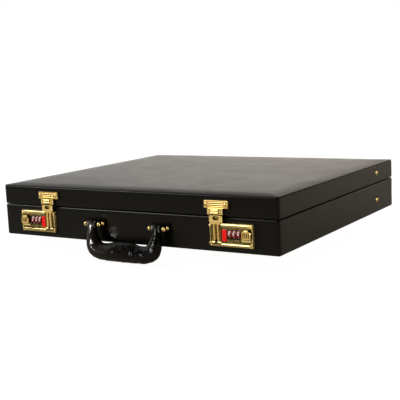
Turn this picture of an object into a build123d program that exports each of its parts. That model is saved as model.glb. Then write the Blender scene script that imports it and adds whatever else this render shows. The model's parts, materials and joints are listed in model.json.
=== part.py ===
from build123d import *
import math
import os

os.makedirs("parts", exist_ok=True)

# A locking case for poker chips, in millimetres. The origin is the centre of the base's
# bottom face, X runs to the right, Y to the back and Z up. The lid is closed, and the
# handle hangs straight down in front of the base.

# ---------------------------------------------------------------- case
case_width = 457.0
case_depth = 406.0
case_height = 76.0
seam_z = 45.7
seam_gap = 0.8
corner_radius = 4.0
skin = 1.0
board = 7.0
panel = 3.0
lining = 1.0
rim_fillet = 1.5
crease_z = 72.8
crease_gap = 0.4
crease_to_panel = 0.8
crease_fillet = 0.7
top_fillet = 2.4
lining_step = 2.0
hole_play = 0.05

front = -case_depth / 2
back = case_depth / 2
side = case_width / 2
base_top = seam_z - seam_gap / 2
lid_bottom = seam_z + seam_gap / 2
room_width = case_width - 2 * (skin + board)
room_depth = case_depth - 2 * (skin + board)
floor_z = skin + panel
panel_under_z = crease_z - crease_to_panel - panel
room_side = room_width / 2 - lining

# ---------------------------------------------------------------- piano hinge
leaf_thickness = 1.0
leaf_length = 400.0
leaf_height = 14.0
leaf_start = 2.8
knuckle_radius = 2.4
knuckle_length = 25.0
knuckle_gap = 0.3
hinge_pin_radius = 1.0
hinge_bore_radius = 1.06
hinge_y = back + knuckle_radius + 0.2
hinge_screw_pitch = 48.0
hinge_screw_count = 9
hinge_head_radius = 2.2
hinge_head_height = 0.9
screw_radius = 1.0
screw_depth = 5.5
pilot_depth = 6.5

# ---------------------------------------------------------------- lid stays
stay_y = 131.0
stay_base_z = 19.8
stay_lid_z = 61.8
stay_width = 9.0
stay_thickness = 1.2
stay_slot = 6.0
rivet_radius = 2.0
rivet_play = 0.06
rivet_dome_radius = 4.3
rivet_dome_height = 2.6
rivet_spacer_radius = 4.0
rivet_inner_radius = 3.4
rivet_inner_head = 0.8
stay_side_play = 0.1
lower_link_x = 216.7
upper_link_x = 214.8
elbow_y = 2 * stay_y - hinge_y
elbow_z = stay_base_z + stay_lid_z - seam_z
elbow_radius = 1.8
elbow_play = 0.15
elbow_spacer_radius = 3.0
elbow_head_radius = 3.2
elbow_outer_head = 0.6

# ---------------------------------------------------------------- handle
mount_x = 54.0
pivot_y = front - 12.0
pivot_z = 26.5
rest_lean = 8.0
handle_pin_radius = 2.0
handle_pin_play = 0.02
handle_bore_radius = 2.08
ear_inner = 6.3
ear_outer = 8.3
ear_radius = 3.4
flange_width = 31.0
flange_height = 12.0
flange_thickness = 2.5
ball_seat_radius = 1.8
ball_length = 6.3
bracket_rivet_x = 12.3
bracket_rivet_radius = 1.5
rivet_ball_seat = 1.9
rivet_ball_length = 4.6
rivet_washer_radius = 2.6
rivet_washer = 0.4
grip_z = -9.6
grip_radius = 12.4
grip_end_radius = 10.6
leg_radius = 6.0
leg_taper_gap = 1.5
corner_bend = 22.0
core_radius = 2.5
core_start = 3.0
eye_radius = 4.8

# ---------------------------------------------------------------- locks (right-hand one)
plate_left = 129.3
plate_right = 194.5
plate_bottom = 6.5
plate_top = 39.7
plate_thickness = 4.0
plate_rim = 0.8
plate_slope = 30
plate_soft_edge = 0.4
field_left = 131.6
field_right = 191.8
field_depth = 1.4
field_slope = 30
bar_height = 5.9
crown_left = 134.0
crown_right = 188.2
crown_half_width = 1.8
crown_height = 0.6
crown_heights = [10.4, 35.8]
shelf_left = 151.0
shelf_right = 189.0
shelf_height = 2.6
shelf_depth = 0.6
hasp_left = 133.8
hasp_right = 147.6
hasp_pivot_y = front - 2.9
hasp_pivot_z = 13.0
hasp_barrel = 1.9
hasp_pin_radius = 0.9
hasp_play = 0.06
hasp_front = front - 3.4
hasp_back = front - 1.2
hasp_rib_offsets = [3.9, 9.6]
hasp_rib_radius = 1.9
hasp_rib_top = 38.0
hasp_rib_start = 2.2
hasp_neck_overlap = 1.2
loop_neck_overlap = 1.6
torsion_pocket_width = 4.0
torsion_pocket_foot = 2.4
torsion_pocket_head = 3.5
torsion_wire = 0.3
torsion_play = 0.05
torsion_coils = [-1.0, 0.0, 1.0]
channel_play = 0.5
channel_floor = 0.8
loop_left = 131.4
loop_right = 150.9
loop_bottom = 39.2
loop_top = 48.0
loop_front = front - 5.4
loop_back = front - 2.9
loop_corner = 1.4
loop_hole_width = 9.4
loop_hole_height = 5.2
loop_hole_z = 44.6
wheel_z = 24.3
wheel_y = front + 1.4
wheel_radius = 6.0
wheel_width = 6.0
wheel_pitch = 6.5
first_wheel_x = 159.1
wheel_groove = 0.35
wheel_rim = 0.9
notch_count = 10
notch_radius = 0.55
notch_depth = 0.8
window_play = 0.25
window_bottom = 18.0
window_top = 30.6
axle_radius = 1.2
axle_play = 0.06
axle_end = 2.0
indicator_left = 148.5
indicator_right = 155.2
indicator_bottom = 14.8
indicator_top = 30.4
indicator_height = 3.6
indicator_fillet = 0.8
knob_left = 178.2
knob_right = 191.6
knob_bottom = 19.2
knob_top = 31.4
knob_height = 3.0
knob_arch_radius = 5.5
knob_foot_radius = 1.5
knob_edge = 0.8
knob_groove_foot = 2.2
knob_groove_head = 3.2
knob_groove_width = 1.5
knob_groove_pitch = 2.5
knob_groove_depth = 1.8
ledge_left = 177.6
ledge_right = 190.4
ledge_bottom = 16.3
ledge_top = 18.2
ledge_height = 1.6
stem_left = 182.4
stem_right = 187.4
stem_bottom = 22.6
stem_top = 27.4
slide_play = 0.3
slide_gap = 0.1
slide_travel = 3.5
slide_thickness = 2.0
slide_bar_play = 0.6
slide_bar_start = 149.6
slide_bar_bottom = 14.2
slide_bar_top = 17.4
coil_count = 6
coil_radius = 0.85
coil_wire = 0.12
coil_play = 0.25
click_margin = 0.4
click_gap = 0.3
click_length = 4.7
click_thickness = 0.3
click_clearance = 0.6
click_room = 1.1
body_depth = 7.95
body_left = 133.4
body_right = 193.4
body_bottom = 10.4
body_top = 33.0
body_end_wall = 0.8
lock_screw_places = [(131.3, 12.0), (131.3, 34.5), (190.8, 12.0), (190.8, 34.5)]
lock_screw_head = 1.7
lock_screw_dome = 1.1
boss_margin = 0.2

# ---------------------------------------------------------------- keepers
keeper_x = 140.5
keeper_thickness = 3.2
keeper_edge = 1.0
keeper_corner = 1.6
keeper_bar_width = 36.6
keeper_bar_bottom = 56.2
keeper_bar_top = 67.2
keeper_field_width = 23.0
keeper_field_height = 7.4
keeper_field_depth = 0.7
keeper_ridge_radius = 0.85
keeper_ridge_pitch = 2.45
keeper_block_width = 22.4
keeper_block_bottom = 49.4
keeper_block_front = front - 5.6
keeper_barrel_width = 10.4
keeper_barrel_radius = 1.75
keeper_barrel_heights = [1.9, 5.4]
keeper_dimple_radius = 0.9
keeper_dimple_depth = 1.5
keeper_screw_offset = 14.5
keeper_screw_z = 61.8
keeper_screw_head = 2.7
keeper_screw_dome = 1.6
tooth_width = 8.0
tooth_bottom = 42.6
tooth_front = front - 2.5
tooth_back = front - 0.3

# ---------------------------------------------------------------- trays and pad
tray_split = 41.6
tray_gap = 0.2
tray_play = 1.0
tray_side = room_side - stay_slot
tray_top = 27.0
tray_length = room_depth - 2 * lining - tray_play
channel_radius = 20.4
channel_pitch = 42.6
channel_count = 4
divider = 10.0
pad_bottom = 47.6
tray_corner = 3.0
card_well = (66.0, 91.0)
card_well_places = [(0, -138), (0, -38)]
dice_trough = (30.0, 104.0)
dice_trough_y = 133.0
well_depth = 19.0
button_well_radius = 28.0
button_well_y = 43.0
button_well_depth = 9.0
pad_width = 424.0
pad_depth = 380.0
pad_corner = 8.0
pad_fillet = 5.0


def save(builder, node):
    """Label a finished piece and write it as one STEP file."""
    builder.part.label = node
    export_step(builder.part, f"parts/{node}.step")


def block(x_low, x_high, y_low, y_high, z_low, z_high, mode=Mode.ADD):
    """A box given by its low and high faces."""
    centre = ((x_low + x_high) / 2, (y_low + y_high) / 2, (z_low + z_high) / 2)
    with Locations(centre):
        Box(abs(x_high - x_low), abs(y_high - y_low), abs(z_high - z_low), mode=mode)


def rod_x(radius, x_low, x_high, y, z, mode=Mode.ADD):
    """A round bar along X."""
    with Locations(Location(((x_low + x_high) / 2, y, z), (0, 90, 0))):
        Cylinder(radius, abs(x_high - x_low), mode=mode)


def rod_y(radius, y_low, y_high, x, z, mode=Mode.ADD):
    """A round bar along Y."""
    with Locations(Location((x, (y_low + y_high) / 2, z), (90, 0, 0))):
        Cylinder(radius, abs(y_high - y_low), mode=mode)


def rod_z(radius, x, y, z_low, z_high, mode=Mode.ADD):
    """A round bar along Z."""
    with Locations((x, y, (z_low + z_high) / 2)):
        Cylinder(radius, abs(z_high - z_low), mode=mode)


def dome(radius, height):
    """A domed head that stands on the XY plane, made as a slice of a sphere."""
    sphere_radius = (radius ** 2 + height ** 2) / (2 * height)
    with BuildPart() as head:
        with Locations((0, 0, height - sphere_radius)):
            Sphere(sphere_radius)
        with BuildSketch(Plane.XY):
            Circle(3 * sphere_radius)
        extrude(amount=-3 * sphere_radius, mode=Mode.SUBTRACT)
    return head.part


def front_wall_holes(play=0.1):
    """Cut the lock recesses, screw holes and handle rivet holes out of the base's front wall."""
    inner = front + skin + board + 1
    for sign in (-1, 1):
        low = sign * (body_left - play)
        high = sign * (body_right + play)
        block(low, high, front - 1, inner, body_bottom - play, body_top + play, Mode.SUBTRACT)
        for x, z in lock_screw_places:
            rod_y(screw_radius + hole_play, front - 1, front + pilot_depth, sign * x, z, Mode.SUBTRACT)
        bracket_rivet_holes(sign * mount_x, front - 1, inner)


def bracket_rivet_holes(middle, y_low, y_high):
    """Cut the two rivet holes of one handle bracket."""
    for offset in (-bracket_rivet_x, bracket_rivet_x):
        rod_y(bracket_rivet_radius + hole_play, y_low, y_high, middle + offset, pivot_z, Mode.SUBTRACT)


def hinge_screw_holes(z):
    """Cut the pilot holes of one hinge leaf's screws."""
    for index in range(hinge_screw_count):
        x = (index - (hinge_screw_count - 1) / 2) * hinge_screw_pitch
        rod_y(screw_radius + hole_play, back - pilot_depth, back + 2, x, z, Mode.SUBTRACT)


def stay_holes(z):
    """Cut the holes of the two stay rivets of one shell."""
    for sign in (-1, 1):
        rod_x(rivet_radius + rivet_play, sign * (room_side - 1), sign * (side + 1), stay_y, z, Mode.SUBTRACT)


def keeper_holes():
    """Cut the holes of the keeper screws."""
    for sign in (-1, 1):
        for offset in (-keeper_screw_offset, keeper_screw_offset):
            x = sign * keeper_x + offset
            rod_y(
                screw_radius + hole_play, front - 5, front + pilot_depth, x, keeper_screw_z, Mode.SUBTRACT
            )


base_screw_z = seam_z - leaf_start - leaf_height / 2
lid_screw_z = seam_z + leaf_start + leaf_height / 2

# ================================================================ base shell
# Leatherette skin: bottom, four sides, and a lip turned over the boards' top edge.
with BuildPart() as base_leatherette:
    with BuildSketch(Plane.XY):
        RectangleRounded(case_width, case_depth, corner_radius)
    extrude(amount=base_top)
    fillet(base_leatherette.faces().sort_by(Axis.Z)[0].edges(), rim_fillet)
    fillet(base_leatherette.faces().sort_by(Axis.Z)[-1].edges(), rim_fillet)
    with BuildSketch(Plane.XY.offset(skin)):
        RectangleRounded(case_width - 2 * skin, case_depth - 2 * skin, corner_radius - skin)
    extrude(amount=base_top - 2 * skin, mode=Mode.SUBTRACT)
    with BuildSketch(Plane.XY.offset(base_top - skin)):
        Rectangle(room_width, room_depth)
    extrude(amount=skin, mode=Mode.SUBTRACT)
    front_wall_holes()
    hinge_screw_holes(base_screw_z)
    stay_holes(stay_base_z)
save(base_leatherette, "base_leatherette")

# Board frame of the base, one glued ring.
with BuildPart() as base_frame:
    with BuildSketch(Plane.XY.offset(skin)):
        RectangleRounded(case_width - 2 * skin, case_depth - 2 * skin, corner_radius - skin)
        Rectangle(room_width, room_depth, mode=Mode.SUBTRACT)
    extrude(amount=base_top - 2 * skin)
    front_wall_holes()
    hinge_screw_holes(base_screw_z)
    stay_holes(stay_base_z)
save(base_frame, "base_frame")

with BuildPart() as base_floor_panel:
    with BuildSketch(Plane.XY.offset(skin)):
        Rectangle(room_width, room_depth)
    extrude(amount=panel)
save(base_floor_panel, "base_floor_panel")

with BuildPart() as base_lining:
    with BuildSketch(Plane.XY.offset(floor_z)):
        Rectangle(room_width, room_depth)
    extrude(amount=base_top - lining_step - floor_z)
    with BuildSketch(Plane.XY.offset(floor_z + lining)):
        Rectangle(room_width - 2 * lining, room_depth - 2 * lining)
    extrude(amount=base_top, mode=Mode.SUBTRACT)
    stay_holes(stay_base_z)
    for sign in (-1, 1):
        bracket_rivet_holes(sign * mount_x, front, front + skin + board + 3 * lining)
save(base_lining, "base_lining")

# ================================================================ lid shell
# Side wrap of the lid, with its lip turned under the boards' bottom edge.
with BuildPart() as lid_side_wrap:
    with BuildSketch(Plane.XY.offset(lid_bottom)):
        RectangleRounded(case_width, case_depth, corner_radius)
    extrude(amount=crease_z - lid_bottom)
    fillet(lid_side_wrap.faces().sort_by(Axis.Z)[0].edges(), rim_fillet)
    fillet(lid_side_wrap.faces().sort_by(Axis.Z)[-1].edges(), crease_fillet)
    with BuildSketch(Plane.XY.offset(lid_bottom + skin)):
        RectangleRounded(case_width - 2 * skin, case_depth - 2 * skin, corner_radius - skin)
    extrude(amount=case_height, mode=Mode.SUBTRACT)
    with BuildSketch(Plane.XY.offset(lid_bottom)):
        Rectangle(room_width, room_depth)
    extrude(amount=skin, mode=Mode.SUBTRACT)
    hinge_screw_holes(lid_screw_z)
    stay_holes(stay_lid_z)
    keeper_holes()
save(lid_side_wrap, "lid_side_wrap")

with BuildPart() as lid_frame:
    with BuildSketch(Plane.XY.offset(lid_bottom + skin)):
        RectangleRounded(case_width - 2 * skin, case_depth - 2 * skin, corner_radius - skin)
        Rectangle(room_width, room_depth, mode=Mode.SUBTRACT)
    extrude(amount=panel_under_z + panel - lid_bottom - skin)
    hinge_screw_holes(lid_screw_z)
    stay_holes(stay_lid_z)
    keeper_holes()
save(lid_frame, "lid_frame")

with BuildPart() as lid_top_panel:
    with BuildSketch(Plane.XY.offset(panel_under_z)):
        Rectangle(room_width, room_depth)
    extrude(amount=panel)
save(lid_top_panel, "lid_top_panel")

# Thin foam over the panel, which gives the lid its soft shoulder.
with BuildPart() as lid_top_foam:
    with BuildSketch(Plane.XY.offset(panel_under_z + panel)):
        RectangleRounded(case_width - 2 * skin, case_depth - 2 * skin, corner_radius - skin)
    extrude(amount=case_height - skin - panel_under_z - panel)
    fillet(lid_top_foam.faces().sort_by(Axis.Z)[-1].edges(), top_fillet - skin)
save(lid_top_foam, "lid_top_foam")

with BuildPart() as lid_top_cover:
    with BuildSketch(Plane.XY.offset(crease_z + crease_gap)):
        RectangleRounded(case_width, case_depth, corner_radius)
    extrude(amount=case_height - crease_z - crease_gap)
    fillet(lid_top_cover.faces().sort_by(Axis.Z)[-1].edges(), top_fillet)
    add(lid_top_foam.part, mode=Mode.SUBTRACT)
save(lid_top_cover, "lid_top_cover")

with BuildPart() as lid_lining:
    with BuildSketch(Plane.XY.offset(lid_bottom + lining_step)):
        Rectangle(room_width, room_depth)
    extrude(amount=panel_under_z - lid_bottom - lining_step)
    with BuildSketch(Plane.XY.offset(lid_bottom)):
        Rectangle(room_width - 2 * lining, room_depth - 2 * lining)
    extrude(amount=panel_under_z - lining - lid_bottom, mode=Mode.SUBTRACT)
    stay_holes(stay_lid_z)
save(lid_lining, "lid_lining")

with BuildPart() as lid_pad:
    with BuildSketch(Plane.XY.offset(pad_bottom)):
        RectangleRounded(pad_width, pad_depth, pad_corner)
    extrude(amount=panel_under_z - lining - pad_bottom)
    fillet(lid_pad.faces().sort_by(Axis.Z)[0].edges(), pad_fillet)
save(lid_pad, "lid_pad")

# ================================================================ trays
# A chip tray is a block with four half-round channels, each split by a divider.
channel_length = (tray_length - 3 * divider) / 2
chip_tray_width = tray_side - tray_split - tray_gap
chip_tray_x = (tray_side + tray_split + tray_gap) / 2
with BuildPart() as chip_tray_right:
    with BuildSketch(Plane.XY.offset(floor_z + lining)):
        with Locations((chip_tray_x, 0)):
            RectangleRounded(chip_tray_width, tray_length, tray_corner)
    extrude(amount=tray_top - floor_z - lining)
    for column in range(channel_count):
        x = chip_tray_x + (column - (channel_count - 1) / 2) * channel_pitch
        for half in (-1, 1):
            y = half * (channel_length + divider) / 2
            rod_y(channel_radius, y - channel_length / 2, y + channel_length / 2, x, tray_top, Mode.SUBTRACT)
save(chip_tray_right, "chip_tray_right")

with BuildPart() as chip_tray_left:
    mirror(chip_tray_right.part, about=Plane.YZ)
save(chip_tray_left, "chip_tray_left")

# Middle tray: two card wells, a round well for the dealer button and a trough for dice.
with BuildPart() as accessory_tray:
    with BuildSketch(Plane.XY.offset(floor_z + lining)):
        RectangleRounded(2 * (tray_split - tray_gap), tray_length, tray_corner)
    extrude(amount=tray_top - floor_z - lining)
    with BuildSketch(Plane.XY.offset(tray_top)):
        with Locations(*card_well_places):
            RectangleRounded(*card_well, tray_corner)
        with Locations((0, dice_trough_y)):
            RectangleRounded(*dice_trough, tray_corner)
    extrude(amount=-well_depth, mode=Mode.SUBTRACT)
    with BuildSketch(Plane.XY.offset(tray_top)):
        with Locations((0, button_well_y)):
            Circle(button_well_radius)
    extrude(amount=-button_well_depth, mode=Mode.SUBTRACT)
save(accessory_tray, "accessory_tray")

# ================================================================ piano hinge
knuckle_count = int(leaf_length / knuckle_length)


def hinge_leaf(direction, own_parity):
    """One leaf: a strip on the back wall, with every second knuckle. direction is +1 upwards."""
    strip_start = seam_z + direction * leaf_start
    strip_end = strip_start + direction * leaf_height
    with BuildPart() as leaf:
        block(-leaf_length / 2, leaf_length / 2, back, back + leaf_thickness, strip_start, strip_end)
        for index in range(knuckle_count):
            if index % 2 == own_parity:
                x_low = -leaf_length / 2 + index * knuckle_length + knuckle_gap / 2
                x_high = x_low + knuckle_length - knuckle_gap
                block(x_low, x_high, back, back + leaf_thickness, seam_z, strip_start)
                rod_x(knuckle_radius, x_low, x_high, hinge_y, seam_z)
        rod_x(hinge_bore_radius, -leaf_length, leaf_length, hinge_y, seam_z, Mode.SUBTRACT)
        hinge_screw_holes((strip_start + strip_end) / 2)
    return leaf


def hinge_screws(z):
    """The row of screws of one leaf."""
    with BuildPart() as screws:
        for index in range(hinge_screw_count):
            x = (index - (hinge_screw_count - 1) / 2) * hinge_screw_pitch
            rod_y(screw_radius, back - screw_depth, back + leaf_thickness, x, z)
            with Locations(Location((x, back + leaf_thickness, z), (-90, 0, 0))):
                add(dome(hinge_head_radius, hinge_head_height))
    return screws


hinge_leaf_base = hinge_leaf(-1, 0)
save(hinge_leaf_base, "hinge_leaf_base")
hinge_leaf_lid = hinge_leaf(1, 1)
save(hinge_leaf_lid, "hinge_leaf_lid")
hinge_screws_base = hinge_screws(base_screw_z)
save(hinge_screws_base, "hinge_screws_base")
hinge_screws_lid = hinge_screws(lid_screw_z)
save(hinge_screws_lid, "hinge_screws_lid")

with BuildPart() as hinge_pin:
    rod_x(hinge_pin_radius, -leaf_length / 2, leaf_length / 2, hinge_y, seam_z)
save(hinge_pin, "hinge_pin")

# ================================================================ lid stays
# The stay is a parallelogram: hinge axis, lid rivet, elbow and base rivet are its corners.


def link(x_low, start, end, start_bore, end_bore):
    """A flat link with round ends, drawn in the YZ plane."""
    length = math.dist(start, end)
    angle = math.degrees(math.atan2(end[1] - start[1], end[0] - start[0]))
    middle = ((start[0] + end[0]) / 2, (start[1] + end[1]) / 2)
    with BuildPart() as strip:
        with BuildSketch(Plane.YZ.offset(x_low)):
            with Locations(Location((middle[0], middle[1], 0), (0, 0, angle))):
                SlotCenterToCenter(length, stay_width)
            with Locations(start):
                Circle(start_bore, mode=Mode.SUBTRACT)
            with Locations(end):
                Circle(end_bore, mode=Mode.SUBTRACT)
        extrude(amount=stay_thickness)
    return strip


def side_rivet(z, inner_x):
    """A rivet through the side wall: outer dome, shank, spacer and inner head."""
    head_x = inner_x - stay_side_play
    with BuildPart() as rivet:
        rod_x(rivet_radius, head_x, side, stay_y, z)
        rod_x(rivet_spacer_radius, inner_x + stay_thickness + stay_side_play, room_side, stay_y, z)
        rod_x(rivet_inner_radius, head_x - rivet_inner_head, head_x, stay_y, z)
        with Locations(Location((side, stay_y, z), (0, 90, 0))):
            add(dome(rivet_dome_radius, rivet_dome_height))
    return rivet


def both_sides(piece):
    """The piece and its mirror image in one node."""
    with BuildPart() as pair:
        add(piece.part)
        mirror(piece.part, about=Plane.YZ)
    return pair


def other_side(piece):
    """The mirror image alone, for the left-hand node."""
    with BuildPart() as image:
        mirror(piece.part, about=Plane.YZ)
    return image


elbow = (elbow_y, elbow_z)
stay_lower_link_right = link(
    lower_link_x, (stay_y, stay_base_z), elbow, rivet_radius + rivet_play, elbow_radius
)
stay_upper_link_right = link(
    upper_link_x, (stay_y, stay_lid_z), elbow, rivet_radius + rivet_play, elbow_radius + elbow_play
)
elbow_inner = upper_link_x - stay_side_play
elbow_outer = lower_link_x + stay_thickness
with BuildPart() as stay_elbow_rivet_right:
    rod_x(elbow_radius, elbow_inner, elbow_outer, *elbow)
    rod_x(elbow_spacer_radius, upper_link_x + stay_thickness + stay_side_play, lower_link_x, *elbow)
    rod_x(elbow_head_radius, elbow_inner - rivet_inner_head, elbow_inner, *elbow)
    rod_x(elbow_head_radius, elbow_outer, elbow_outer + elbow_outer_head, *elbow)

save(stay_lower_link_right, "stay_lower_link_right")
save(stay_upper_link_right, "stay_upper_link_right")
save(stay_elbow_rivet_right, "stay_elbow_rivet_right")
stay_lower_link_left = other_side(stay_lower_link_right)
stay_upper_link_left = other_side(stay_upper_link_right)
stay_elbow_rivet_left = other_side(stay_elbow_rivet_right)
save(stay_lower_link_left, "stay_lower_link_left")
save(stay_upper_link_left, "stay_upper_link_left")
save(stay_elbow_rivet_left, "stay_elbow_rivet_left")
stay_rivets_base = both_sides(side_rivet(stay_base_z, lower_link_x))
stay_rivets_lid = both_sides(side_rivet(stay_lid_z, upper_link_x))
save(stay_rivets_base, "stay_rivets_base")
save(stay_rivets_lid, "stay_rivets_lid")

# ================================================================ handle
# Each bracket is a riveted flange with two ears. The pin's ends are balls outside the ears.
with BuildPart() as handle_bracket_right:
    with BuildSketch(Plane.XZ.offset(-front)):
        with Locations((mount_x, pivot_z)):
            RectangleRounded(flange_width, flange_height, flange_height / 4)
    extrude(amount=flange_thickness)
    for sign in (-1, 1):
        ear_low = mount_x + sign * ear_inner
        ear_high = mount_x + sign * ear_outer
        block(
            ear_low, ear_high, pivot_y, front - flange_thickness, pivot_z - ear_radius, pivot_z + ear_radius
        )
        rod_x(ear_radius, ear_low, ear_high, pivot_y, pivot_z)
    rod_x(
        handle_pin_radius + handle_pin_play, mount_x - 2 * ear_outer, mount_x + 2 * ear_outer,
        pivot_y, pivot_z, Mode.SUBTRACT
    )
    bracket_rivet_holes(mount_x, front - 5, front + 5)
save(handle_bracket_right, "handle_bracket_right")
handle_bracket_left = other_side(handle_bracket_right)
save(handle_bracket_left, "handle_bracket_left")

wall_inside = front + skin + board + lining
with BuildPart() as bracket_rivet_pair:
    for offset in (-bracket_rivet_x, bracket_rivet_x):
        x = mount_x + offset
        rod_y(bracket_rivet_radius, front - flange_thickness, wall_inside, x, pivot_z)
        rod_y(rivet_washer_radius, wall_inside, wall_inside + rivet_washer, x, pivot_z)
        with Locations(Location((x, front - flange_thickness, pivot_z), (90, 0, 0))):
            add(dome(rivet_ball_seat, rivet_ball_length))
bracket_rivets = both_sides(bracket_rivet_pair)
save(bracket_rivets, "bracket_rivets")

with BuildPart() as handle_pin_right:
    rod_x(handle_pin_radius, mount_x - ear_outer, mount_x + ear_outer, pivot_y, pivot_z)
handle_pins = both_sides(handle_pin_right)
save(handle_pins, "handle_pins")

with BuildPart() as cap_pair:
    for sign in (-1, 1):
        with Locations(Location((mount_x + sign * ear_outer, pivot_y, pivot_z), (0, sign * 90, 0))):
            add(dome(ball_seat_radius, ball_length))
handle_pin_caps = both_sides(cap_pair)
save(handle_pin_caps, "handle_pin_caps")


def leaning(piece):
    """The handle at rest, where it leans out on its pins and the padded grip clears the front."""
    with BuildPart() as leaned:
        add(piece.part.rotate(Axis((0, pivot_y, pivot_z), (-1, 0, 0)), rest_lean))
    return leaned


# Steel core: a bent rod with an eye at each end.
bend_x = mount_x - corner_bend
bend_z = grip_z + corner_bend
core_top = pivot_z - core_start
with BuildPart() as handle_core:
    with BuildLine(Plane.XZ.offset(-pivot_y)) as core_path:
        Line((-mount_x, core_top), (-mount_x, bend_z))
        RadiusArc((-mount_x, bend_z), (-bend_x, grip_z), -corner_bend)
        Line((-bend_x, grip_z), (bend_x, grip_z))
        RadiusArc((bend_x, grip_z), (mount_x, bend_z), -corner_bend)
        Line((mount_x, bend_z), (mount_x, core_top))
    with BuildSketch(Plane(origin=(-mount_x, pivot_y, core_top), z_dir=(0, 0, -1))):
        Circle(core_radius)
    sweep(path=core_path.wires()[0])
    for sign in (-1, 1):
        x = sign * mount_x
        rod_x(eye_radius, x - leg_radius, x + leg_radius, pivot_y, pivot_z)
        rod_x(handle_bore_radius, x - ear_outer, x + ear_outer, pivot_y, pivot_z, Mode.SUBTRACT)
save(leaning(handle_core), "handle_core")

# Padded leather grip: a barrel that swells in the middle, two bends and two tapering legs.
grip_shoulder = grip_z + grip_end_radius
with BuildPart() as handle_grip:
    with BuildSketch(Plane.XZ.offset(-pivot_y)):
        with BuildLine():
            Line((-bend_x, grip_z), (-bend_x, grip_shoulder))
            ThreePointArc((-bend_x, grip_shoulder), (0, grip_z + grip_radius), (bend_x, grip_shoulder))
            Line((bend_x, grip_shoulder), (bend_x, grip_z))
            Line((bend_x, grip_z), (-bend_x, grip_z))
        make_face()
    revolve(axis=Axis((0, pivot_y, grip_z), (1, 0, 0)))
    taper_top = pivot_z - ear_radius - leg_taper_gap
    for sign in (-1, 1):
        x = sign * mount_x
        with BuildSketch(Plane(origin=(sign * bend_x, pivot_y, grip_z), z_dir=(sign, 0, 0))):
            Circle(grip_end_radius)
        revolve(axis=Axis((sign * bend_x, pivot_y, bend_z), (0, -sign, 0)), revolution_arc=90)
        with Locations((x, pivot_y, (bend_z + taper_top) / 2)):
            Cone(grip_end_radius, leg_radius, taper_top - bend_z)
        rod_z(leg_radius, x, pivot_y, taper_top, pivot_z)
        rod_x(leg_radius, x - leg_radius, x + leg_radius, pivot_y, pivot_z)
        rod_x(handle_bore_radius, x - ear_outer, x + ear_outer, pivot_y, pivot_z, Mode.SUBTRACT)
    add(handle_core.part, mode=Mode.SUBTRACT)
save(leaning(handle_grip), "handle_grip")

# ================================================================ locks
# Each piece is drawn for the right-hand lock; the left-hand one is its mirror image.
plate_front = front - plate_thickness
field_y = plate_front + field_depth
field_bottom = plate_bottom + bar_height
field_top = plate_top - bar_height
window_left = first_wheel_x - wheel_width / 2 - window_play
window_right = first_wheel_x + 2 * wheel_pitch + wheel_width / 2 + window_play
slide_start = front + slide_gap
slide_back = slide_start + slide_thickness
spring_end = body_right - body_end_wall
hasp_middle = (hasp_left + hasp_right) / 2
hasp_pin_left = hasp_left - 1.1
hasp_pin_right = hasp_right + 0.9

# Cast plate: bars above and below a sunk field, and a channel for the hasp that is open at the top.
with BuildPart() as lock_plate_right:
    block(plate_left, plate_right, front - plate_rim, front, plate_bottom, plate_top)
    with BuildSketch(Plane.XZ.offset(plate_rim - front)):
        with Locations(((plate_left + plate_right) / 2, (plate_bottom + plate_top) / 2)):
            Rectangle(plate_right - plate_left, plate_top - plate_bottom)
    extrude(amount=plate_thickness - plate_rim, taper=plate_slope)
    fillet(lock_plate_right.faces().sort_by(Axis.Y)[0].edges(), plate_soft_edge)
    with BuildSketch(Plane.XZ.offset(-plate_front)):
        with Locations(((field_left + field_right) / 2, (field_bottom + field_top) / 2)):
            Rectangle(field_right - field_left, field_top - field_bottom)
    extrude(amount=-field_depth, taper=field_slope, mode=Mode.SUBTRACT)
    for z in crown_heights:
        with BuildSketch(Plane.YZ.offset(crown_left)):
            with BuildLine():
                Line((plate_front, z + crown_half_width), (plate_front, z - crown_half_width))
                ThreePointArc(
                    (plate_front, z - crown_half_width), (plate_front - crown_height, z),
                    (plate_front, z + crown_half_width)
                )
            make_face()
        extrude(amount=crown_right - crown_left)
    block(shelf_left, shelf_right, field_y - shelf_depth, field_y, field_top - shelf_height, field_top)
    block(ledge_left, ledge_right, field_y - ledge_height, field_y, ledge_bottom, ledge_top)
    for x, z in lock_screw_places:
        rod_y(lock_screw_head + boss_margin, plate_front, front, x, z)
        rod_y(screw_radius + hole_play, plate_front - 1, front + 1, x, z, Mode.SUBTRACT)
    block(
        hasp_left - channel_play, hasp_right + channel_play, plate_front - 1, front - channel_floor,
        hasp_pivot_z - hasp_barrel - channel_play, plate_top + 1, Mode.SUBTRACT
    )
    block(window_left, window_right, plate_front - 1, front + 1, window_bottom, window_top, Mode.SUBTRACT)
    block(
        indicator_left, indicator_right, plate_front - 1, front + 1, indicator_bottom, indicator_top,
        Mode.SUBTRACT
    )
    block(
        stem_left - slide_play, stem_right + slide_travel + slide_play, plate_front - 1, front + 1,
        stem_bottom - slide_play, stem_top + slide_play, Mode.SUBTRACT
    )
    rod_x(hasp_pin_radius, hasp_pin_left, hasp_pin_right, hasp_pivot_y, hasp_pivot_z, Mode.SUBTRACT)
save(lock_plate_right, "lock_plate_right")
save(other_side(lock_plate_right), "lock_plate_left")

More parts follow.
